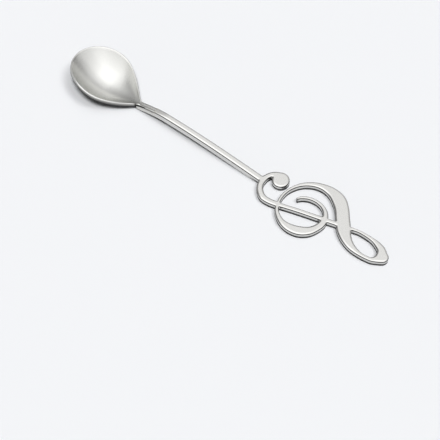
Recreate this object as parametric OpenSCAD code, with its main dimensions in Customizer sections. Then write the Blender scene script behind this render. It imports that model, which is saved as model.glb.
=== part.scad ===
// Teaspoon whose handle is a treble clef: a pressed bowl brazed to a cut and bent plate.
// X runs from the bowl to the clef, Y across and Z up. The spoon lies on Z = 0.

/* [Bowl] */
// Bowl from its tip to the end of its rim at the neck, mm
bowl_l = 34; // [30:0.5:38]
// Bowl across the outside of its rim, mm
bowl_w = 24.7; // [21.7:0.5:28.7]
// Tip to the widest place, mm
bowl_wide_at = 15.4; // [13.4:0.2:17]
// Tip to the deepest place, mm
bowl_deep_at = 17.5; // [15.5:0.5:19.5]
// Height of the rim at the tip, mm
tip_z = 11.2; // [9.8:0.2:12.8]
// Height of the rim at the neck, mm
neck_z = 4; // [3.8:0.1:4.8]
// Thickness of the bowl's sheet, mm
sheet_t = 1; // [0.8:0.1:1.2]
// Width of the rim's lip, mm
lip_w = 0.8; // [0.6:0.1:1]
// Depth of the lip's outer edge, mm
lip_edge = 0.3; // [0.2:0.05:0.4]

/* [Neck joint] */
// Length of the bowl's tongue on the handle, mm
tongue_l = 8; // [5:0.5:12]
// Thickness of the braze under the tongue, mm
braze_t = 0.1; // [0.06:0.02:0.16]
// Thickness of the braze at the tongue's end, mm
braze_end = 0.15; // [0.1:0.05:0.3]
// How far the braze stays back from the tongue's sides, mm
braze_inset = 0.15; // [0.1:0.05:0.3]
// Handle's end under the bowl, past the end of the rim, mm
heel_l = 1.5; // [1:0.25:2]

/* [Stem] */
// Stem from the end of the bowl's rim to the clef, mm
stem_l = 60; // [48:1:75]
// Stem's width at the neck, mm
stem_w = 2.6; // [2.2:0.1:3.2]
// Stem's width at the clef, mm
stem_clef_w = 2.8; // [2.4:0.1:3.4]
// Top of the stem's arch above the table, mm
arch_z = 6.4; // [5.6:0.1:7.2]
// Neck to the top of the arch, mm
arch_at = 14; // [13:0.5:20]

/* [Clef] */
// Clef's length, mm
clef_l = 62.3; // [56.3:0.5:70.3]
// Clef's width, mm
clef_w = 27.2; // [25:0.2:30]
// Thickness of the handle's plate, mm
plate_t = 3.2; // [2.8:0.1:3.4]
// Bevel of the plate's edges, mm
edge = 0.4; // [0.2:0.05:0.5]
// Thinnest width of the pen stroke, mm
pen_hair = 1.3; // [1:0.1:1.6]
// Width of the straight line down the middle, mm
pen_line = 1.9; // [1.5:0.1:2.3]
// Width of the hook, mm
pen_hook = 2.7; // [2.2:0.1:3]
// Widest part of the lower belly, mm
pen_belly = 4; // [3:0.1:4.4]
// Widest part of the slanting stroke, mm
pen_swell = 5.8; // [4.8:0.1:6.4]
// Diameter of the loop's round tip, mm
tip_d = 5.2; // [4.2:0.1:5.6]
// Diameter of the ball at the end of the hook, mm
ball_d = 7.2; // [6.2:0.1:7.8]

/* [Hidden] */

spoon_l = bowl_l + stem_l + clef_l;
tip_x = -spoon_l / 2;
neck_x = tip_x + bowl_l;
clef_x = neck_x + stem_l;

// The clef is drawn on a grid of this length and width, then fitted to its own size.
grid = [62.3, 27.2];
function on_clef(p) = [clef_x + p.x * clef_l / grid.x, p.y * clef_w / grid.y];

// Centres of the loop's round tip and of the ball.
loop_tip = [grid.x - tip_d / 2, -1.7];
ball = [7.6, 4.1];

// Knots of the two pen strokes: place along and across the grid, and the pen's width there.
swirl_knots = [
    [17.8, 0.4, 0.9],
    [19.2, 2.2, pen_hair],
    [22, 3.7, pen_hair],
    [26, 4.1, 1.4],
    [29.6, 2.8, 1.8],
    [31.8, 0.2, 2.4],
    [32.4, -3, 2.9],
    [31.6, -6.2, 3],
    [29.8, -9, 3.6],
    [26.6, -11.1, pen_belly],
    [22.6, -12, 3.4],
    [18.3, -11.3, 2.3],
    [14.6, -8.6, 1.7],
    [12.9, -4.9, pen_hair],
    [12.4, -1, pen_hair],
    [13.2, 2.9, pen_hair],
    [15.5, 6.9, 1.6],
    [19.1, 9.9, 2.1],
    [23.2, 11.4, 2.9],
    [27.5, 11.5, 4.4],
    [31.5, 10.1, pen_swell],
    [34.7, 7.5, pen_swell],
    [37.7, 3.7, pen_swell],
    [40.6, 0.1, pen_swell],
    [43.1, -2.4, 4.7],
    [45.9, -4.2, 3.6],
    [48.9, -5.3, 2.7],
    [52.2, -5.8, 1.8],
    [55, -5.6, 1.7],
    [57.2, -5, 2],
    [59.2, -2.9, 4]
];
line_knots = [
    [59.1, -0.8, 4.4],
    [57.6, 0.9, 3.4],
    [55.2, 2, 2.6],
    [52.4, 2.6, 1.7],
    [49.2, 2.7, 1.4],
    [46, 2.5, 1.3],
    [42.5, 1.7, 1.5],
    [37, 0.3, pen_line],
    [29.5, -1.6, pen_line],
    [22, -3.5, pen_line],
    [15, -5.5, pen_line],
    [12, -6.3, 2.4],
    [8.9, -6.8, 2.5],
    [6.2, -6.5, pen_hook],
    [3.8, -4.9, pen_hook],
    [2.2, -2.5, 2.6],
    [1.8, 0.2, 2.6],
    [2.5, 2.9, 2.2],
    [4.3, 5, 2.5],
    [7.6, 6.1, 3.2]
];

// A smooth curve through knots, with the same number of steps to each span.
function between(a, b, c, d, t) =
    b + t / 2 * (c - a + t * (2 * a - 5 * b + 4 * c - d + t * (3 * (b - c) + d - a)));
function curve(k, steps) = [
    for (i = [0 : len(k) - 2], s = [0 : steps - 1])
        between(k[max(i - 1, 0)], k[i], k[i + 1], k[min(i + 2, len(k) - 1)], s / steps),
    k[len(k) - 1]
];

// Top of the handle: it rises from the neck to the arch, then falls to the flat clef.
function top_z(x) =
    let (u = x - neck_x)
    u < 0 ? neck_z
    : u < arch_at ? neck_z + (arch_z - neck_z) * sin(90 * u / arch_at)
    : u < stem_l ? plate_t + (arch_z - plate_t) * cos(90 * (u - arch_at) / (stem_l - arch_at))
    : plate_t;

// Paths of the handle's bars: x, y, width and the height of the underside.
stroke_steps = 4;
stem_steps = 30;
stem_into_clef = 1.5;
function stroke(knots) = [for (k = curve(knots, stroke_steps)) concat(on_clef(k), k.z, 0)];
function stem_place(x, f) = [x, 0, stem_w + (stem_clef_w - stem_w) * f, top_z(x) - plate_t];
stem_path = [
    stem_place(neck_x - heel_l, 0),
    for (i = [0 : stem_steps])
        let (f = i / stem_steps)
        stem_place(neck_x + (stem_l + stem_into_clef) * f, f)
];

// Faces of a tube through equal rings of points, open at both ends.
function tube_faces(rings, sides) = [
    for (i = [0 : rings - 2], j = [0 : sides - 1])
        let (a = i * sides + j, b = i * sides + (j + 1) % sides)
        each [[a, a + sides, b], [b, a + sides, b + sides]]
];

// A flat bar along a path, with a bevel on its edges.
module bar(path) {
    rings = len(path);
    sides = 8;
    function across(i) =
        let (d = path[min(i + 1, rings - 1)] - path[max(i - 1, 0)])
        [-d.y, d.x] / norm([d.x, d.y]);
    function section(h) = [
        [h - edge, 0], [h, edge], [h, plate_t - edge], [h - edge, plate_t],
        [edge - h, plate_t], [-h, plate_t - edge], [-h, edge], [edge - h, 0]
    ];
    points = [
        for (i = [0 : rings - 1])
            let (p = path[i], n = across(i))
            for (s = section(p[2] / 2)) [p.x + n.x * s.x, p.y + n.y * s.x, p[3] + s.y]
    ];
    polyhedron(points, concat(
        tube_faces(rings, sides),
        [[for (j = [0 : sides - 1]) j]],
        [[for (j = [1 : sides]) rings * sides - j]]
    ));
}

// A round plate with the same bevel, where the pen turns or ends.
module disc(at, d) {
    r = d / 2;
    translate(on_clef(at))
        rotate_extrude($fn = 48)
            polygon([
                [0, 0], [r - edge, 0], [r, edge],
                [r, plate_t - edge], [r - edge, plate_t], [0, plate_t]
            ]);
}

// A plain strip along X, between two lists of heights at the places xs.
module strip(xs, half, low, high) {
    rings = len(xs);
    points = [
        for (i = [0 : rings - 1])
            each [[xs[i], half, low[i]], [xs[i], half, high[i]], [xs[i], -half, high[i]], [xs[i], -half, low[i]]]
    ];
    polyhedron(points, concat(
        tube_faces(rings, 4),
        [[0, 1, 2, 3]],
        [[for (j = [1 : 4]) 4 * rings - j]]
    ));
}

// The lap at the neck: the tongue lies on the braze, and the braze on the cut-down end of the handle.
lap_steps = 6;
lap_x = [for (i = [0 : lap_steps]) neck_x + tongue_l * i / lap_steps];
tongue_under = [for (x = lap_x) top_z(x) - sheet_t];
lap_floor = [for (z = tongue_under) z - braze_t];
lap_end = [lap_x[lap_steps], lap_x[lap_steps] + braze_end];
heel_fall = 0.4;
heel_cut = heel_l + 1;

module handle() {
    color("silver")
        difference() {
            union() {
                bar(stroke(swirl_knots));
                bar(stroke(line_knots));
                bar(stem_path);
                disc(loop_tip, tip_d);
                disc(ball, ball_d);
            }
            strip(
                concat(neck_x - heel_cut, lap_x, lap_end[1]),
                stem_w,
                concat(lap_floor[0] - heel_fall * heel_cut, lap_floor, lap_floor[lap_steps]),
                [for (i = [0 : lap_steps + 2]) arch_z + plate_t]
            );
        }
}

module braze() {
    half = stem_w / 2 - braze_inset;
    color("gold")
        union() {
            strip(lap_x, half, lap_floor, tongue_under);
            strip(
                lap_end,
                half,
                [lap_floor[lap_steps], lap_floor[lap_steps]],
                [top_z(lap_end[0]) - braze_inset, top_z(lap_end[0]) - braze_inset]
            );
        }
}

// What the bowl does at a distance d from its tip. Over the shoulder its lip thins into the tongue's edge.
shoulder_l = 4;
tongue_bevel = 0.25;
rim_ease = 1.5;
rim_power = 1.6;
bowl_power = 2.2;
half_w = bowl_w / 2;
function shoulder(d) = max(0, min(1, 1 - (bowl_l - d) / shoulder_l));
function lip(d) = lip_w + (tongue_bevel - lip_w) * shoulder(d);
function lip_drop(d) = lip_edge + (sheet_t - lip_edge) * shoulder(d);
function rim_w(d) = norm([half_w * cos(90 * (d - bowl_wide_at) / (bowl_l - bowl_wide_at)), stem_w / 2]);
function rim_z(d) = neck_z + (tip_z - neck_z) * pow(cos(90 * pow(d / bowl_l, rim_ease)), rim_power);
function heel_z(d) = (neck_z - sheet_t) * pow((d - bowl_deep_at) / (bowl_l - bowl_deep_at), 2);
function keel_in(d) =
    d > bowl_deep_at ? sheet_t + heel_z(d)
    : sheet_t + (tip_z - sheet_t) * pow((bowl_deep_at - d) / (bowl_deep_at - lip_w), bowl_power);
function keel_out(d) =
    d > bowl_deep_at ? heel_z(d)
    : (tip_z - lip_edge) * pow(1 - d / bowl_deep_at, bowl_power);

// Stations along the bowl, each with x, half width, keel and rim inside, then the same outside.
function tongue_station(x) =
    let (z = top_z(x), under = z - sheet_t)
    [[x, stem_w / 2 - tongue_bevel, z, z], [x, stem_w / 2, under, under]];
function neck_station(d) =
    let (x = tip_x + d, w = rim_w(d), z = rim_z(d))
    [[x, w - lip(d), keel_in(d), z], [x, w, keel_out(d), z - lip_drop(d)]];
function tip_station(turn) =
    let (d = bowl_wide_at * (1 - sin(turn)), d_in = d + lip_w * sin(turn), z = rim_z(d), w = rim_w(bowl_wide_at) * cos(turn))
    [[tip_x + d_in, w - lip_w * cos(turn), keel_in(d_in), z], [tip_x + d, w, keel_out(d), z - lip_edge]];

neck_steps = 14;
tip_steps = 12;
tip_turn = 88;
stations = [
    for (i = [lap_steps : -1 : 1]) tongue_station(lap_x[i]),
    for (i = [0 : neck_steps - 1]) neck_station(bowl_l - (bowl_l - bowl_wide_at) * i / neck_steps),
    for (i = [0 : tip_steps]) tip_station(tip_turn * i / tip_steps)
];

module bowl() {
    across = 20;
    sides = 2 * across + 4;
    rings = len(stations);
    lip_ease = 0.07;
    function spread(j) = 2 * j / across - 1;
    function skin(q, s) = [q[0], q[1] * s, q[2] + (q[3] - q[2]) * pow(abs(s), bowl_power)];
    function crown(q, side) = [(q[0][0] + 2 * q[1][0]) / 3, side * (q[0][1] + 2 * q[1][1]) / 3, q[0][3] - lip_ease];
    points = [
        for (q = stations)
            each [
                for (j = [0 : across]) skin(q[0], spread(j)),
                crown(q, 1),
                for (j = [across : -1 : 0]) skin(q[1], spread(j)),
                crown(q, -1)
            ]
    ];
    end_faces = [
        for (j = [0 : across - 1])
            let (under = 2 * across + 2 - j)
            each [[j, j + 1, under - 1], [j, under - 1, under]],
        [across, across + 1, across + 2],
        [sides - 2, sides - 1, 0]
    ];
    last = (rings - 1) * sides;
    color("gainsboro")
        polyhedron(points, concat(
            tube_faces(rings, sides),
            end_faces,
            [for (f = end_faces) [last + f[2], last + f[1], last + f[0]]]
        ));
}

bowl();
handle();
braze();
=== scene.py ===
"""Looks of the teaspoon: its dressed bowl, handle and braze, their steel, a plain studio and the camera."""
from collections import namedtuple
from math import cos, pi, radians, sin

import bpy
import numpy as np
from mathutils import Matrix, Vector
from mathutils.geometry import delaunay_2d_cdt


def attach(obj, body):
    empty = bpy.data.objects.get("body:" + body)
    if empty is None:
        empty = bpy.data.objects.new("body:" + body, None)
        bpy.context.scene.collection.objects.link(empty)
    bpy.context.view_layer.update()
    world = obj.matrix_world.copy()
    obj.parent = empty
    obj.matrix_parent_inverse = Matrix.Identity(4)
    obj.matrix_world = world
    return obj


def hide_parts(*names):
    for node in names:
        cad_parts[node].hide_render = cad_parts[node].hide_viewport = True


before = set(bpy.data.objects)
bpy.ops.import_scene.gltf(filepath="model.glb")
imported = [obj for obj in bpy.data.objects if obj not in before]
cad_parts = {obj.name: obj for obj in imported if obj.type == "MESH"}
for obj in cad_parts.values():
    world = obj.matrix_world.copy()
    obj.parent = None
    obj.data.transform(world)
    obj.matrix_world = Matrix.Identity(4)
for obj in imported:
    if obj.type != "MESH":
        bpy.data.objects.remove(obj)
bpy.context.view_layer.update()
MM = 0.001

# Sizes of the bowl in mm, named as in part.scad.
BOWL_L = 34
BOWL_W = 24.7
BOWL_WIDE_AT = 15.4
BOWL_DEEP_AT = 17.5
TIP_Z = 11.2
NECK_Z = 4
SHEET_T = 1
LIP_W = 0.8

# Sizes of the neck joint.
TONGUE_L = 8
BRAZE_T = 0.1
BRAZE_END = 0.15
HEEL_L = 1.5
HEEL_FALL = 0.4

# Sizes of the stem.
STEM_L = 60
STEM_W = 2.6
STEM_CLEF_W = 2.8
STEM_INTO_CLEF = 1.5
ARCH_Z = 6.4
ARCH_AT = 14

# Sizes of the clef and its pen strokes.
CLEF_L = 62.3
PLATE_T = 3.2
PEN_HAIR = 1.3
PEN_LINE = 1.9
PEN_HOOK = 2.7
PEN_BELLY = 4
PEN_SWELL = 5.8
TIP_D = 5.2
BALL_D = 7.2

# Places along the spoon. The stem's bar goes over into the clef's edge at JOIN_X.
TIP_X = -(BOWL_L + STEM_L + CLEF_L) / 2
NECK_X = TIP_X + BOWL_L
LAP_X = NECK_X + TONGUE_L + BRAZE_END
CLEF_X = NECK_X + STEM_L
JOIN_BACK = 0.6
JOIN_X = CLEF_X - JOIN_BACK

# Centres of the loop's round tip and of the ball, along and across the clef.
LOOP_TIP = (CLEF_L - TIP_D / 2, -1.7)
BALL = (7.6, 4.1)

# Knots of the two pen strokes: along and across the clef, and the pen's width there.
SWIRL = [
    (17.8, 0.4, 0.9), (19.2, 2.2, PEN_HAIR), (22, 3.7, PEN_HAIR), (26, 4.1, 1.4), (29.6, 2.8, 1.8),
    (31.8, 0.2, 2.4), (32.4, -3, 2.9), (31.6, -6.2, 3), (29.8, -9, 3.6), (26.6, -11.1, PEN_BELLY),
    (22.6, -12, 3.4), (18.3, -11.3, 2.3), (14.6, -8.6, 1.7), (12.9, -4.9, PEN_HAIR), (12.4, -1, PEN_HAIR),
    (13.2, 2.9, PEN_HAIR), (15.5, 6.9, 1.6), (19.1, 9.9, 2.1), (23.2, 11.4, 2.9), (27.5, 11.5, 4.4),
    (31.5, 10.1, PEN_SWELL), (34.7, 7.5, PEN_SWELL), (37.7, 3.7, PEN_SWELL), (40.6, 0.1, PEN_SWELL),
    (43.1, -2.4, 4.7), (45.9, -4.2, 3.6), (48.9, -5.3, 2.7), (52.2, -5.8, 1.8), (55, -5.6, 1.7),
    (57.2, -5, 2), (59.2, -2.9, 4),
]
DOWN = [
    (59.1, -0.8, 4.4), (57.6, 0.9, 3.4), (55.2, 2, 2.6), (52.4, 2.6, 1.7), (49.2, 2.7, 1.4),
    (46, 2.5, 1.3), (42.5, 1.7, 1.5), (37, 0.3, PEN_LINE), (29.5, -1.6, PEN_LINE), (22, -3.5, PEN_LINE),
    (15, -5.5, PEN_LINE), (12, -6.3, 2.4), (8.9, -6.8, 2.5), (6.2, -6.5, PEN_HOOK), (3.8, -4.9, PEN_HOOK),
    (2.2, -2.5, 2.6), (1.8, 0.2, 2.6), (2.5, 2.9, 2.2), (4.3, 5, 2.5), (7.6, 6.1, 3.2),
]

# How finely the handle is drawn, with EDGE_STEP in mm, and how often its runs are evened out.
PEN_STEPS = 12
DISC_SIDES = 96
EDGE_STEP = 0.2
LAP_STEPS = 11
STEM_STEPS = 89
EDGE_PASSES = 4
RADIUS_PASSES = 6

# What delaunay_2d_cdt gives back, only the inside, and how close two points are merged.
INSIDE_ONLY = 1
OUTLINE_MERGE = 1e-5
COVER_MERGE = 1e-7


# Helpers shared by the pieces.
def top_z(x):
    """Top of the handle: up from the neck to the arch, then down to the flat clef."""
    u = x - NECK_X
    rise = NECK_Z + (ARCH_Z - NECK_Z) * np.sin(pi / 2 * np.clip(u / ARCH_AT, 0, 1))
    past_arch = np.clip((u - ARCH_AT) / (STEM_L - ARCH_AT), 0, 1)
    fall = PLATE_T + (ARCH_Z - PLATE_T) * np.cos(pi / 2 * past_arch)
    return np.where(u < ARCH_AT, rise, fall)


def clamped(value):
    """A number kept between 0 and 1."""
    return min(1, max(0, value))


def piece(name, points, faces, material, slot, node, normals=None, **marks):
    """A mesh piece from points in mm, with corner normals and marks for its material where they are given."""
    mesh = bpy.data.meshes.new(name)
    mesh.from_pydata((np.asarray(points) * MM).tolist(), [], faces)
    mesh.polygons.foreach_set("use_smooth", [True] * len(mesh.polygons))
    for mark, values in marks.items():
        mesh.attributes.new(mark, "FLOAT", "POINT").data.foreach_set("value", values)
    if normals is not None:
        mesh.normals_split_custom_set(normals)
    mesh.materials.append(material)
    obj = bpy.data.objects.new(name, mesh)
    bpy.context.scene.collection.objects.link(obj)
    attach(obj, "root")
    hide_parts(node)
    obj.visible_diffuse = False
    return obj


def add(tree, kind, inputs=None, **settings):
    """A node with its settings, and its inputs linked or set."""
    made = tree.nodes.new(kind)
    for key, value in settings.items():
        setattr(made, key, value)
    for key, value in (inputs or {}).items():
        if isinstance(value, bpy.types.NodeSocket):
            tree.links.new(value, made.inputs[key])
        else:
            made.inputs[key].default_value = value
    return made


def scaled(tree, value, low, high, start=0.0, end=1.0, curve="LINEAR"):
    """A value's range from start to end, turned into one from low to high."""
    inputs = {0: value, 1: start, 2: end, 3: low, 4: high}
    return add(tree, "ShaderNodeMapRange", inputs, interpolation_type=curve).outputs[0]


def marked(tree, name):
    """What the mesh carries under this name."""
    return add(tree, "ShaderNodeAttribute", attribute_name=name).outputs["Fac"]


def mixed(tree, share, first, second):
    """One number going over into another as share goes from 0 to 1."""
    return add(tree, "ShaderNodeMix", {0: share, 2: first, 3: second}).outputs[0]


def tinted(tree, share, first, second):
    """One colour going over into another as share goes from 0 to 1."""
    return add(tree, "ShaderNodeMix", {0: share, 6: first, 7: second}, data_type="RGBA").outputs[2]


# Materials. The noises and the bump are in the units of their nodes, with lengths in metres.
BRUSH = {"Scale": 1, "Detail": 5, "Roughness": 0.65}
CLOUD = {"Scale": 170, "Detail": 3}
SCRATCHES = {"Strength": 0.25, "Distance": 0.00001}
NOISE_RANGE = (0.3, 0.7)
BRUSH_SWING = 0.05
CLOUD_SWING = 0.03
# Painted shade: the near-black colour and roughness that stand in for contact shadows and dark reflections.
PAINTED_SHADE_TONE = (0.04, 0.04, 0.038, 1)
PAINTED_SHADE_ROUGH = 0.6
SANDED_ROUGH = 0.6


def steel(name, pale, deep, rough, polished, grain):
    """Satin steel: brush marks along the grain and a faint cloud of polish.

    The mesh marks a bright worn edge, a sanded joint and painted shade for contact shadows and dark
    reflections.
    """
    material = bpy.data.materials.new(name)
    material.use_nodes = True
    tree = material.node_tree
    tree.nodes.clear()
    place = add(tree, "ShaderNodeTexCoord").outputs["Object"]
    along = add(tree, "ShaderNodeMapping", {"Vector": place, "Scale": grain}).outputs[0]
    brush = add(tree, "ShaderNodeTexNoise", {"Vector": along, **BRUSH}).outputs[0]
    cloud = add(tree, "ShaderNodeTexNoise", {"Vector": place, **CLOUD}).outputs[0]
    tone = tinted(tree, cloud, deep, pale)
    # Painted shade: where the mesh marks it, the steel's colour goes over into near-black.
    tone = tinted(tree, marked(tree, "under"), tone, PAINTED_SHADE_TONE)
    streaks = scaled(tree, brush, rough - BRUSH_SWING, rough + BRUSH_SWING, *NOISE_RANGE)
    mottle = scaled(tree, cloud, -CLOUD_SWING, CLOUD_SWING, *NOISE_RANGE)
    soft = add(tree, "ShaderNodeMath", {0: streaks, 1: mottle}, operation="ADD").outputs[0]
    for mark, level in (("joint", SANDED_ROUGH), ("edge", polished), ("under", PAINTED_SHADE_ROUGH)):
        soft = mixed(tree, marked(tree, mark), soft, level)
    bump = add(tree, "ShaderNodeBump", {"Height": brush, **SCRATCHES}).outputs[0]
    shader = add(tree, "ShaderNodeBsdfPrincipled", {
        "Base Color": tone, "Metallic": 1.0, "Roughness": soft, "Normal": bump,
    })
    add(tree, "ShaderNodeOutputMaterial", {"Surface": shader.outputs[0]})
    return material


bowl_steel = steel(
    "satin_bowl", pale=(0.68, 0.68, 0.662, 1), deep=(0.64, 0.64, 0.622, 1),
    rough=0.31, polished=0.12, grain=(500, 9000, 9000),
)
handle_steel = steel(
    "satin_handle", pale=(0.66, 0.656, 0.64, 1), deep=(0.61, 0.606, 0.59, 1),
    rough=0.18, polished=0.1, grain=(700, 9000, 9000),
)
braze_metal = steel(
    "silver_braze", pale=(0.70, 0.66, 0.55, 1), deep=(0.55, 0.52, 0.44, 1),
    rough=0.4, polished=0.4, grain=(4000, 4000, 4000),
)


# The handle's outline.
def between(a, b, c, d, t):
    """A smooth step from b to c, on a curve that also passes a and d."""
    return b + t / 2 * (c - a + t * (2 * a - 5 * b + 4 * c - d + t * (3 * (b - c) + d - a)))


def curve(knots):
    """A smooth curve through knots."""
    k = np.array(knots, float)
    last = len(k) - 1
    run = [
        between(k[max(i - 1, 0)], k[i], k[i + 1], k[min(i + 2, last)], s / PEN_STEPS)
        for i in range(last) for s in range(PEN_STEPS)
    ]
    return np.array(run + [k[last]])


def stem_width(x):
    """Width of the stem, which grows a little towards the clef."""
    return STEM_W + (STEM_CLEF_W - STEM_W) * (x - NECK_X) / (STEM_L + STEM_INTO_CLEF)


def ribbon(path, first):
    """Points on both sides of a pen stroke, and the faces between them, with points numbered from first."""
    ahead = np.gradient(path[:, :2], axis=0)
    ahead /= np.linalg.norm(ahead, axis=1)[:, None]
    left = np.column_stack([-ahead[:, 1], ahead[:, 0]]) * path[:, 2:] / 2
    points = [Vector(q) for p, n in zip(path[:, :2], left) for q in (p + n, p - n)]
    return points, [[i, i + 1, i + 3, i + 2] for i in range(first, first + len(points) - 2, 2)]


def disc(centre, diameter, first):
    """Points round a plate, and its one face, with points numbered from first."""
    x, y = centre
    turns = np.arange(DISC_SIDES) * 2 * pi / DISC_SIDES
    points = [Vector((x + diameter / 2 * cos(a), y + diameter / 2 * sin(a))) for a in turns]
    return points, [list(range(first, first + DISC_SIDES))]


def borders(flat, triangles):
    """Loops round the triangles, each with the metal on its left."""
    edges = {(t[i], t[(i + 1) % 3]) for t in triangles for i in range(3)}
    ahead = {a: b for a, b in edges if (b, a) not in edges}
    loops = []
    while ahead:
        at, loop = min(ahead), []
        while at in ahead:
            loop.append(at)
            at = ahead.pop(at)
        loops.append(np.array([flat[i] for i in loop]) + (CLEF_X, 0))
    return loops


def clef_outline():
    """Loops round the drawn clef and the end of the stem, the outer one first."""
    stem = np.array([
        (JOIN_X - CLEF_X, 0, stem_width(JOIN_X)),
        (STEM_INTO_CLEF, 0, stem_width(CLEF_X + STEM_INTO_CLEF)),
    ])
    forms = [(ribbon, (path,)) for path in (curve(SWIRL), curve(DOWN), stem)]
    forms += [(disc, (LOOP_TIP, TIP_D)), (disc, (BALL, BALL_D))]
    points, faces = [], []
    for form, sizes in forms:
        more_points, more_faces = form(*sizes, len(points))
        points += more_points
        faces += more_faces
    flat, _, triangles, _, _, origin = delaunay_2d_cdt(points, [], faces, INSIDE_ONLY, OUTLINE_MERGE)
    metal = [t for t, o in zip(triangles, origin) if o]
    return sorted(borders(flat, metal), key=lambda loop: loop[:, 0].min())


def even(points, closed):
    """The same run of points with even steps and slightly eased corners."""
    p = np.vstack([points, points[:1]]) if closed else points
    along = np.concatenate([[0], np.cumsum(np.linalg.norm(np.diff(p, axis=0), axis=1))])
    at = np.linspace(0, along[-1], round(along[-1] / EDGE_STEP) + 1)
    p = np.column_stack([np.interp(at, along, p[:, i]) for i in (0, 1)])
    if closed:
        p = p[:-1]
    for _ in range(EDGE_PASSES):
        eased = (np.roll(p, 1, 0) + 2 * p + np.roll(p, -1, 0)) / 4
        p = eased if closed else np.vstack([p[:1], eased[1:-1], p[-1:]])
    return p


def clef_edges():
    """The clef's outer edge, from the stem's near corner round to its far one, and the edges of its gaps."""
    outer, *gaps = clef_outline()
    near_corner = np.lexsort((outer[:, 1], np.round(outer[:, 0], 3)))[0]
    return even(np.roll(outer, -near_corner, 0), False), [even(gap, True) for gap in gaps]


def outward(p, closed):
    """Normals that point out of the metal, to the right of the run."""
    ahead = (np.roll(p, -1, 0) - np.roll(p, 1, 0)) if closed else np.gradient(p, axis=0)
    out = np.column_stack([ahead[:, 1], -ahead[:, 0]])
    return out / np.linalg.norm(out, axis=1)[:, None]


def roundness(p, out, everything):
    """The radius of the largest disc that fits in the metal at each point, evened out along the run."""
    largest, least = 9, 1e-6
    away = p[:, None] - everything[None]
    deep = np.einsum("ijk,ik->ij", away, out)
    radius = np.where(deep > least, (away ** 2).sum(2) / (2 * np.maximum(deep, least)), largest).min(1)
    for _ in range(RADIUS_PASSES):
        radius = np.minimum(radius, (np.roll(radius, 1) + radius + np.roll(radius, -1)) / 3)
    return radius


# The worn upper edge of the plate: slopes in degrees and lengths in mm, from the flat top to the wall.
PILLOW = [(2, 0.16), (7, 0.14), (13, 0.16), (21, 0.15), (29, 0.13)]
BROW = [(40, 0.05), (52, 0.05), (62, 0.06), (67, 0.14), (70, 0.16), (74, 0.08), (80, 0.06), (87, 0.06)]
PILLOW_LEAST = 0.06

# The rounded under edge, of which the lifted stem loses most, and the levels of the wall above it.
UNDER_W = 0.4
UNDER_R = 0.6
UNDER_TURNS = [radians(d) for d in (90, 74, 58, 42, 28, 14, 0)]
UNDER_LOSS = 0.85
WALL_LEVELS = (1.2, 1.8, PLATE_T - SHEET_T - BRAZE_T)

# An edge takes up to this share of a narrow bar's half width.
BAR_SHARE = 0.7

# Numbers of a column's points at the lap's floor and at the flat top.
LAP_LEVEL = len(UNDER_TURNS) + len(WALL_LEVELS) - 1
TOP_LEVEL = LAP_LEVEL + len(PILLOW) + len(BROW) + 1

# The dressed handle stays this far inside the solid's outline, in mm.
INSET = 0.02

# Painted shade on the plate's edge: contact shadow at the foot, a dark reflection below the upper edge, shade
# at the spiral's end.
FOOT_Z = 1.8
FOOT_FADE = 0.6
FOOT_LIFT = 0.5
HAIRLINE_TILT = radians(21)
HAIRLINE_SPREAD = radians(16)
HAIRLINE_SHADE = 1.3
SPIRAL_END = (CLEF_X + SWIRL[0][0], SWIRL[0][1])
SPIRAL_REACH = 1.1
SPIRAL_SHADE = 0.9
SPIRAL_TILT = radians(50)

# The stem is sanded up to this far past the lap, in mm.
SANDED_L = 7


def shoulder(radius):
    """Levels of the upper edge, from the wall to the top, where a disc of this radius fits.

    Each says how far in and how far down it is, and its normal's tilt.
    """
    room = BAR_SHARE * radius
    pillow = sum(n * cos(radians(a)) for a, n in PILLOW)
    brow = sum(n * cos(radians(a)) for a, n in BROW)
    size = min(1, room / (brow + PILLOW_LEAST))
    ease = min(1, max(PILLOW_LEAST / pillow, (room - brow) / pillow))
    run = [(a, n * size * ease) for a, n in PILLOW] + [(a, n * size) for a, n in BROW]
    x, z, before = 0.0, 0.0, -run[0][0]
    levels = []
    for a, n in run:
        levels.append((x, z, radians(90 - (a + before) / 2)))
        x, z, before = x + n * cos(radians(a)), z + n * sin(radians(a)), a
    levels.append((x, z, 0))
    return [(x - w, drop, tilt) for w, drop, tilt in reversed(levels)]


def edge_levels(lift, radius):
    """Points up the plate's edge, from the underside to the top: how far in, how high and the tilt."""
    soft = 1 - UNDER_LOSS * min(1, lift)
    under = soft * min(UNDER_W, BAR_SHARE * radius)
    levels = [(under * (1 - cos(a)), soft * UNDER_R * (1 - sin(a)), -a) for a in UNDER_TURNS]
    levels += [(0, z, 0) for z in WALL_LEVELS]
    return levels + [(back, PLATE_T - drop, tilt) for back, drop, tilt in shoulder(radius)]


def edge_painted_shade(p, lift, z, tilt):
    """How much painted shade a point of the plate's edge gets."""
    foot = max(0, 1 - lift / FOOT_LIFT) * clamped((FOOT_Z - z) / FOOT_FADE)
    hairline = min(1, HAIRLINE_SHADE * max(0, 1 - abs(tilt - HAIRLINE_TILT) / HAIRLINE_SPREAD))
    end = SPIRAL_SHADE * max(0, 1 - np.hypot(*(p - SPIRAL_END)) / SPIRAL_REACH)
    return max(foot, hairline, end if tilt < SPIRAL_TILT else 0)


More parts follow.
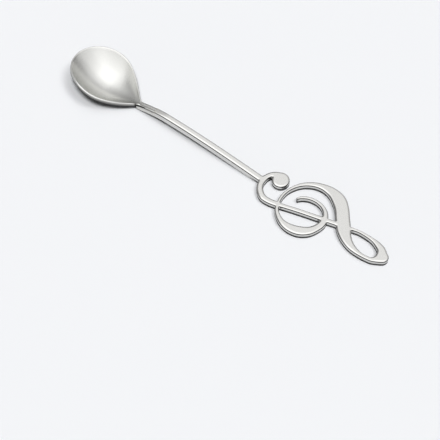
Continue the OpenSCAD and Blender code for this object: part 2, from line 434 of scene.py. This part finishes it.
# The handle.
class Plate:
    """The handle's surface as it grows: points with their normals and marks, and faces."""

    def __init__(self):
        self.points, self.normals, self.worn, self.painted_shade = [], [], [], []
        self.faces, self.flats = [], set()

    def flat_face(self, ids):
        """A face that keeps its own normal."""
        self.flats.add(len(self.faces))
        self.faces.append(ids)

    def column(self, p, out, radius, top=TOP_LEVEL):
        """Points up the plate's edge, as far as the level top. Returns their numbers."""
        nudge = 0.01
        lift = float(top_z(p[0])) - PLATE_T
        slope = float(top_z(p[0] + nudge) - top_z(p[0] - nudge)) / (2 * nudge)
        first = len(self.points)
        for back, z, tilt in edge_levels(lift, radius)[:top + 1]:
            x, y = p - out * (back + INSET)
            normal = Vector((out[0] * cos(tilt) - slope * sin(tilt), out[1] * cos(tilt), sin(tilt)))
            self.points.append((x, y, z + lift))
            self.normals.append(normal.normalized())
            self.worn.append(abs(sin(2 * tilt)))
            # Painted shade: contact shadow at the foot, a dark reflection in the hairline and shade at the
            # spiral's end.
            self.painted_shade.append(edge_painted_shade(p, lift, z, tilt))
        return list(range(first, len(self.points)))

    def pair(self, x, top):
        """Columns on the near and the far side of the stem."""
        half = stem_width(x) / 2
        return [self.column(np.array([x, s * half]), np.array([0, s]), STEM_W / 2, top) for s in (-1.0, 1.0)]

    def wall(self, a, b):
        """Faces between two neighbouring columns."""
        for j in range(min(len(a), len(b)) - 1):
            self.faces.append((a[j], b[j], b[j + 1], a[j + 1]))

    def lap(self):
        """Pairs of columns along the cut-down end, whose heel falls away under the bowl."""
        pairs = []
        for x in [NECK_X - HEEL_L, *np.linspace(NECK_X, LAP_X, LAP_STEPS + 1)[:-1]]:
            pairs.append(self.pair(x, LAP_LEVEL))
            for column in pairs[-1]:
                px, py, pz = self.points[column[-1]]
                self.points[column[-1]] = (px, py, pz - HEEL_FALL * max(NECK_X - x, 0))
        return pairs

    def bar(self, lap, full):
        """Faces of the stem through its pairs of columns, first the lap and then the full bar."""
        pairs = lap + full
        for a, b in zip(pairs, pairs[1:]):
            self.wall(a[0], b[0])
            self.wall(b[1], a[1])
            self.faces.append((a[1][0], b[1][0], b[0][0], a[0][0]))
        for a, b in zip(full, full[1:]):
            self.faces.append((a[0][TOP_LEVEL], b[0][TOP_LEVEL], b[1][TOP_LEVEL], a[1][TOP_LEVEL]))
        for a, b in zip(lap, lap[1:] + full[:1]):
            self.flat_face((a[0][LAP_LEVEL], b[0][LAP_LEVEL], b[1][LAP_LEVEL], a[1][LAP_LEVEL]))
        self.flat_face(lap[0][0] + lap[0][1][::-1])
        self.flat_face(full[0][0][LAP_LEVEL:] + full[0][1][LAP_LEVEL:][::-1])

    def ring(self, p, closed, everything):
        """Columns along one edge of the clef, with walls between them."""
        out = outward(p, closed)
        columns = [self.column(*place) for place in zip(p, out, roundness(p, out, everything))]
        for a, b in zip(columns, columns[1:] + columns[:1] if closed else columns[1:]):
            self.wall(a, b)
        return columns

    def cover(self, rings, level, up):
        """The clef's flat face at one level: the first ring's inside, without the other rings."""
        ids = [[column[level] for column in ring] for ring in rings]
        given = [i for ring in ids for i in ring]
        number = {v: k for k, v in enumerate(given)}
        outlines = [[number[i] for i in ring] for ring in ids[:1] + [ring[::-1] for ring in ids[1:]]]
        flat = [Vector(self.points[i][:2]) for i in given]
        _, _, triangles, source, _, origin = delaunay_2d_cdt(flat, [], outlines, INSIDE_ONLY, COVER_MERGE)
        for t, o in zip(triangles, origin):
            if o == [0]:
                face = [given[source[i][0]] for i in t]
                self.faces.append(face if up else face[::-1])

    def corners(self):
        """A normal for each corner of each face."""
        normals = []
        for i, face in enumerate(self.faces):
            if i in self.flats:
                a, b, c = (Vector(self.points[face[k * len(face) // 3]]) for k in range(3))
                normals += [(b - a).cross(c - a).normalized()] * len(face)
            else:
                normals += [self.normals[k] for k in face]
        return normals


def build_handle():
    """The plate: a bar for the stem, and the clef with its gaps."""
    plate = Plate()
    outer, gaps = clef_edges()
    everything = np.vstack([outer] + gaps)
    lap = plate.lap()
    full = [plate.pair(x, TOP_LEVEL) for x in np.linspace(LAP_X, JOIN_X, STEM_STEPS + 1)[:-1]]
    rings = [plate.ring(outer, False, everything)]
    rings += [plate.ring(gap, True, everything) for gap in gaps]
    plate.bar(lap, full + [[rings[0][0], rings[0][-1]]])
    plate.cover(rings, 0, False)
    plate.cover(rings, TOP_LEVEL, True)
    sanded = [clamped(1 - (p[0] - LAP_X) / SANDED_L) for p in plate.points]
    # The under mark carries the painted shade of the plate's edge.
    return piece(
        "handle_dressed", plate.points, plate.faces, handle_steel, "handle_steel", "handle", plate.corners(),
        edge=plate.worn, under=plate.painted_shade, joint=sanded,
    )


# The bowl's form. Its rim is rounder and deeper than the solid's lip.
RIM_EASE = 1.5
RIM_POWER = 1.6
SIDE_POWER = 2.2
RIM_EDGE = 1.6
RIM_BEND = 3.6
TONGUE_EASE = 0.7
TONGUE_BEND = 2.5
NECK_L = 4
LIP_STEPS = (0.22, 0.36, 0.5, 0.64, 0.76, 0.86)
CORNER_STEPS = (0, 0.2, 0.4, 0.6, 0.8, 1)
CORNER_W = 0.16
CORNER_SHARE = 0.2
BOWL_SHARP = radians(50)
NEVER_ZERO = 1e-12

# Stations along the bowl, and rows on its two skins.
TONGUE_STEPS = 14
NECK_STEPS = 36
TIP_STEPS = 72
INSIDE_ROWS = 33
OUTSIDE_ROWS = 25

# Marks at the near side of the neck, in mm: a pit in the rim, darkened with painted shade, and a dark seam
# along the tongue.
PIT_AT = 1.55
PIT_REACH = 0.8
PIT_DEPTH = 0.25
SEAM_BACK = 1.5
SEAM_L = 3.6
SEAM_FADE = 0.8

# Rows over the rim that the pit lowers and darkens with painted shade, and the first of them that the seam
# darkens.
PIT_ROWS = range(2, 13)
SEAM_ROW = 8

# Painted shade: how dark the rows over the rim and the first rows below it are, a dark reflection of the
# shadow under the bowl.
RIM_SHADE = [0.0] * 8 + [0.3, 0.6, 0.7, 0.75, 0.9, 1.0, 1.0, 1.0]
UNDER_SHADE = [0.9, 0.7, 0.5, 0.3, 0.15]

# The sanding starts this far before the neck and grows over this length, in mm.
SANDED_BACK = 1
SANDED_FADE = 3

# A cross-section: its skins, the depth and bend of its rim, and how much of the pit and the seam it has.
Station = namedtuple("Station", "skin drop bend pit seam")


def rim_width(d):
    """Half the width over the rim, d from the tip, between the widest place and the neck."""
    return np.hypot(BOWL_W / 2 * np.cos(pi / 2 * (d - BOWL_WIDE_AT) / (BOWL_L - BOWL_WIDE_AT)), STEM_W / 2)


def rim_z(d):
    """Height of the rim, d from the tip."""
    return NECK_Z + (TIP_Z - NECK_Z) * np.clip(np.cos(pi / 2 * (d / BOWL_L) ** RIM_EASE), 0, 1) ** RIM_POWER


def keel(d, inside):
    """Height of the bowl's middle line, inside or outside."""
    base, peak, lip = (SHEET_T, TIP_Z - SHEET_T, LIP_W) if inside else (0, TIP_Z - RIM_EDGE, 0)
    heel = (NECK_Z - SHEET_T) * np.clip((d - BOWL_DEEP_AT) / (BOWL_L - BOWL_DEEP_AT), 0, None) ** 2
    return base + heel + peak * np.clip((BOWL_DEEP_AT - d) / (BOWL_DEEP_AT - lip), 0, None) ** SIDE_POWER


def tongue(x, side):
    """A station on the handle's lap."""
    def skin(q, inside):
        half = STEM_W / 2 - (TONGUE_EASE if inside else 0)
        return np.array([x, side * q * half, float(top_z(x)) - (0 if inside else SHEET_T)])

    seam = clamped((NECK_X + SEAM_L - x) / SEAM_FADE) if side < 0 else 0
    return Station(skin, SHEET_T, TONGUE_BEND, 0, seam)


def neck(d, side):
    """A station between the tongue and the widest place, where the rim goes over into the tongue's side."""
    share = np.clip(1 - (BOWL_L - d) / NECK_L, 0, 1)
    lip = LIP_W + (TONGUE_EASE - LIP_W) * share
    drop = RIM_EDGE + (SHEET_T - RIM_EDGE) * share
    bend = RIM_BEND + (TONGUE_BEND - RIM_BEND) * share

    def skin(q, inside):
        half, rim = (rim_width(d) - lip, rim_z(d)) if inside else (rim_width(d), rim_z(d) - drop)
        low = keel(d, inside)
        return np.array([TIP_X + d, side * q * half, low + (rim - low) * q ** SIDE_POWER])

    pit = max(0, 1 - abs(BOWL_L - PIT_AT - d) / PIT_REACH) if side < 0 else 0
    seam = 1 if side < 0 and d > BOWL_L - SEAM_BACK else 0
    return Station(skin, drop, bend, pit, seam)


def tip(turn):
    """A station of the rounded end, which turns from the far side to the near one."""
    wide = float(rim_width(BOWL_WIDE_AT))

    def skin(q, inside):
        lip, drop = (LIP_W, 0) if inside else (0, RIM_EDGE)
        ahead = min(q * sin(turn), 1)
        d = BOWL_WIDE_AT - (BOWL_WIDE_AT - lip) * ahead
        cross = np.sqrt(max(1 - ahead ** 2, NEVER_ZERO))
        s = min(q * abs(cos(turn)) / cross, 1)
        low, rim = keel(d, inside), rim_z(BOWL_WIDE_AT * (1 - ahead)) - drop
        return np.array([TIP_X + d, q * (wide - lip) * cos(turn), low + (rim - low) * s ** SIDE_POWER])

    return Station(skin, RIM_EDGE, RIM_BEND, 0, 0)


def stations():
    """Stations from the end of the tongue along the far side, round the tip and back along the near side."""
    def along(side):
        run = [tongue(x, side) for x in np.linspace(NECK_X + TONGUE_L, NECK_X, TONGUE_STEPS + 1)[:-1]]
        return run + [neck(d, side) for d in np.linspace(BOWL_L, BOWL_WIDE_AT, NECK_STEPS + 1)[:-1]]

    return along(1) + [tip(turn) for turn in np.linspace(0, pi, TIP_STEPS + 1)] + along(-1)[::-1]


def rounded(a, b, c):
    """A rounded corner at b, between a and c."""
    return [(1 - u) ** 2 * a + 2 * u * (1 - u) * b + u * u * c for u in CORNER_STEPS]


def rim_rows(station, corner):
    """Rows over the rim from the inside to the outside, and their painted shade."""
    inner, outer = station.skin(1, True), station.skin(1, False)

    def lip(t):
        x, y, _ = inner + (outer - inner) * t
        return np.array([x, y, inner[2] - station.drop * t ** station.bend])

    rows = rounded(station.skin(1 - corner, True), inner, lip(LIP_STEPS[0]))
    rows += [lip(t) for t in LIP_STEPS[1:-1]]
    rows += rounded(lip(LIP_STEPS[-1]), outer, station.skin(1 - corner, False))
    shade = list(RIM_SHADE)
    for k in PIT_ROWS:
        rows[k] = rows[k] - (0, 0, PIT_DEPTH * station.pit)
        shade[k] = max(shade[k], station.pit, station.seam if k >= SEAM_ROW else 0)
    return rows, shade


def section(station):
    """Rows from the inside keel over the rim to the outside keel: points, polish and painted shade."""
    reach = np.linalg.norm((station.skin(1, True) - station.skin(0, True))[:2])
    corner = min(CORNER_W / reach, CORNER_SHARE)
    inside = [station.skin(q, True) for q in np.linspace(0, 1 - corner, INSIDE_ROWS + 1)[:-1]]
    rim, shade = rim_rows(station, corner)
    outside = [station.skin(q, False) for q in np.linspace(1 - corner, 0, OUTSIDE_ROWS + 1)[1:]]
    polish = [0.0] * INSIDE_ROWS + [1.0] * len(rim) + [0.0] * OUTSIDE_ROWS
    dark = [0.0] * INSIDE_ROWS + shade + UNDER_SHADE + [0.0] * (OUTSIDE_ROWS - len(UNDER_SHADE))
    return inside + rim + outside, polish, dark


def build_bowl():
    """A grid of stations and rows. Points that meet on the keel lines become one."""
    grid, polish, dark = (np.array(values) for values in zip(*map(section, stations())))
    points = grid.reshape(-1, 3)
    _, first, number = np.unique(np.round(points, 6), axis=0, return_index=True, return_inverse=True)
    points = points[first]
    ids = number.reshape(grid.shape[:2]).tolist()
    faces = []
    for a, b in zip(ids, ids[1:]):
        for j in range(len(a) - 1):
            face = [a[j], a[j + 1], b[j + 1], b[j]]
            face = [v for k, v in enumerate(face) if v != face[k - 1]]
            if len(face) > 2:
                faces.append(face)
    faces.append(ids[-1] + ids[0][-2:0:-1])
    sanded = np.clip((points[:, 0] - NECK_X + SANDED_BACK) / SANDED_FADE, 0, 1)
    # The under mark carries the painted shade of the rim and the pit, and the dark seam.
    obj = piece(
        "bowl_dressed", points, faces, bowl_steel, "bowl_steel", "bowl",
        edge=polish.reshape(-1)[first], under=dark.reshape(-1)[first], joint=sanded,
    )
    obj.data.set_sharp_from_angle(angle=BOWL_SHARP)
    return obj


# The braze, in mm: clear of the steel, set in from the sides and the top, and more so near the neck.
BRAZE_STEPS = 20
BRAZE_CLEAR = 0.003
BRAZE_STEP = 0.005
BRAZE_IN = 0.03
BRAZE_NECK_IN = 0.3
BRAZE_NECK_L = 4
BRAZE_SHARP = radians(40)


def build_braze():
    """The filler under the tongue and up its end."""
    end = NECK_X + TONGUE_L
    places = list(np.linspace(NECK_X, end - BRAZE_STEP, BRAZE_STEPS + 1))
    places += [end + BRAZE_STEP, end + BRAZE_END - BRAZE_STEP]
    points, faces = [], []
    for i, x in enumerate(places):
        under = float(top_z(min(x, end))) - SHEET_T
        half = STEM_W / 2 - BRAZE_IN - BRAZE_NECK_IN * max(0, 1 - (x - NECK_X) / BRAZE_NECK_L)
        low = under - BRAZE_T + BRAZE_CLEAR
        high = float(top_z(x)) - BRAZE_IN if x > end else under - BRAZE_CLEAR
        points += [(x, -half, low), (x, half, low), (x, half, high), (x, -half, high)]
        if i:
            a = 4 * i - 4
            faces += [(a + k, a + (k + 1) % 4, a + 4 + (k + 1) % 4, a + 4 + k) for k in range(4)]
    faces += [(3, 2, 1, 0), tuple(len(points) - 4 + k for k in range(4))]
    obj = piece("braze_seam", points, faces, braze_metal, "braze_filler", "braze")
    obj.data.set_sharp_from_angle(angle=BRAZE_SHARP)
    return obj


# The studio, in metres.
FLOOR_COLOUR = (0.875, 0.885, 0.905, 1)
FLOOR_ROUGH = 0.9
FLOOR_HALF = 4


def build_floor():
    """A plain pale floor without gloss."""
    material = bpy.data.materials.new("pale_floor")
    material.use_nodes = True
    paint = material.node_tree.nodes["Principled BSDF"]
    paint.inputs["Base Color"].default_value = FLOOR_COLOUR
    paint.inputs["Roughness"].default_value = FLOOR_ROUGH
    paint.inputs["Specular IOR Level"].default_value = 0.0
    mesh = bpy.data.meshes.new("floor")
    corners = [(x * FLOOR_HALF, y * FLOOR_HALF, 0) for x, y in ((-1, -1), (1, -1), (1, 1), (-1, 1))]
    mesh.from_pydata(corners, [], [(0, 1, 2, 3)])
    mesh.materials.append(material)
    floor = bpy.data.objects.new("floor", mesh)
    bpy.context.scene.collection.objects.link(floor)


def build_sky():
    """What the metal shows: a wide soft box above and towards the viewer, dimmed on its other sides."""
    world = bpy.data.worlds.new("studio")
    bpy.context.scene.world = world
    world.use_nodes = True
    sky = world.node_tree
    sky.nodes.clear()
    way = add(sky, "ShaderNodeTexCoord").outputs["Generated"]
    part = add(sky, "ShaderNodeSeparateXYZ", {0: way}).outputs
    diffuse = add(sky, "ShaderNodeLightPath").outputs["Is Diffuse Ray"]

    def across(x, y):
        """How far a direction of the sky goes along a level line."""
        line = {0: way, 1: (x, y, 0)}
        return add(sky, "ShaderNodeVectorMath", line, operation="DOT_PRODUCT").outputs["Value"]

    # From the bright front to the grey back, then what dims it: value, level from and to, range from and to.
    light = scaled(sky, part["Y"], 1.7, 0.46, 0.1, 0.95)
    dark_left = (across(1, -0.12), 0.25, 1.0, -0.66, -0.38, "SMOOTHSTEP")
    far_right_corner = (across(1, 1), 1.0, 0.62, 1.2, 1.42, "SMOOTHSTEP")
    dim_right = (part["X"], 1.0, 0.53, 0.34, 1.0)
    low_front = (part["Y"], 0.8, 1.0, -1.0, -0.7)
    horizon = (part["Z"], 0.7, 1.0, 0.0, 0.15, "SMOOTHSTEP")
    none_on_floor = (diffuse, 1.0, 0.0)
    for dim in (dark_left, far_right_corner, dim_right, low_front, horizon, none_on_floor):
        level = scaled(sky, *dim)
        light = add(sky, "ShaderNodeMath", {0: light, 1: level}, operation="MULTIPLY").outputs[0]
    shine = add(sky, "ShaderNodeBackground", {"Color": (1, 1, 1, 1), "Strength": light})
    add(sky, "ShaderNodeOutputWorld", {"Surface": shine.outputs[0]})


# Lamps for the floor's soft shadows: the way towards each, its spread in degrees and its share of the light.
LAMPS = {
    "front": ((0.21, -0.32, 1), 14, 0.61),
    "right": ((0.44, 0.05, 1), 20, 0.3),
    "back": ((0.05, 0.3, 1), 24, 0.1),
}


def build_lamps():
    """Soft suns that the metal doesn't show."""
    for name, (towards, spread, level) in LAMPS.items():
        towards = Vector(towards).normalized()
        lamp = bpy.data.lights.new(name, "SUN")
        lamp.angle = radians(spread)
        lamp.energy = level * pi / towards.z
        obj = bpy.data.objects.new(name, lamp)
        obj.rotation_euler = towards.to_track_quat("Z", "Y").to_euler()
        obj.visible_glossy = False
        bpy.context.scene.collection.objects.link(obj)


# The camera, fitted to the photo's outline: angles, distance in metres, and lens in the photo's pixels.
ELEVATION = radians(58.6)
AZIMUTH = radians(36.33)
DISTANCE = 0.6
FOCAL_PX = 1519.5
PHOTO_PX = 440
SENSOR_MM = 36
CLIP_START = 0.01
AIM = Vector((14.3, -24.48, 0.8)) * MM


def build_camera():
    """The photo's view of the spoon."""
    view = Vector((sin(AZIMUTH) * cos(ELEVATION), -cos(AZIMUTH) * cos(ELEVATION), sin(ELEVATION)))
    lens = bpy.data.cameras.new("camera")
    lens.sensor_fit = "HORIZONTAL"
    lens.sensor_width = SENSOR_MM
    lens.lens = FOCAL_PX * SENSOR_MM / PHOTO_PX
    lens.clip_start = CLIP_START
    camera = bpy.data.objects.new("camera", lens)
    camera.location = AIM + view * DISTANCE
    camera.rotation_euler = (-view).to_track_quat("-Z", "Y").to_euler()
    bpy.context.scene.collection.objects.link(camera)
    bpy.context.scene.camera = camera


build_handle()
build_bowl()
build_braze()
build_floor()
build_sky()
build_lamps()
build_camera()
bpy.context.scene.view_settings.view_transform = "Standard"
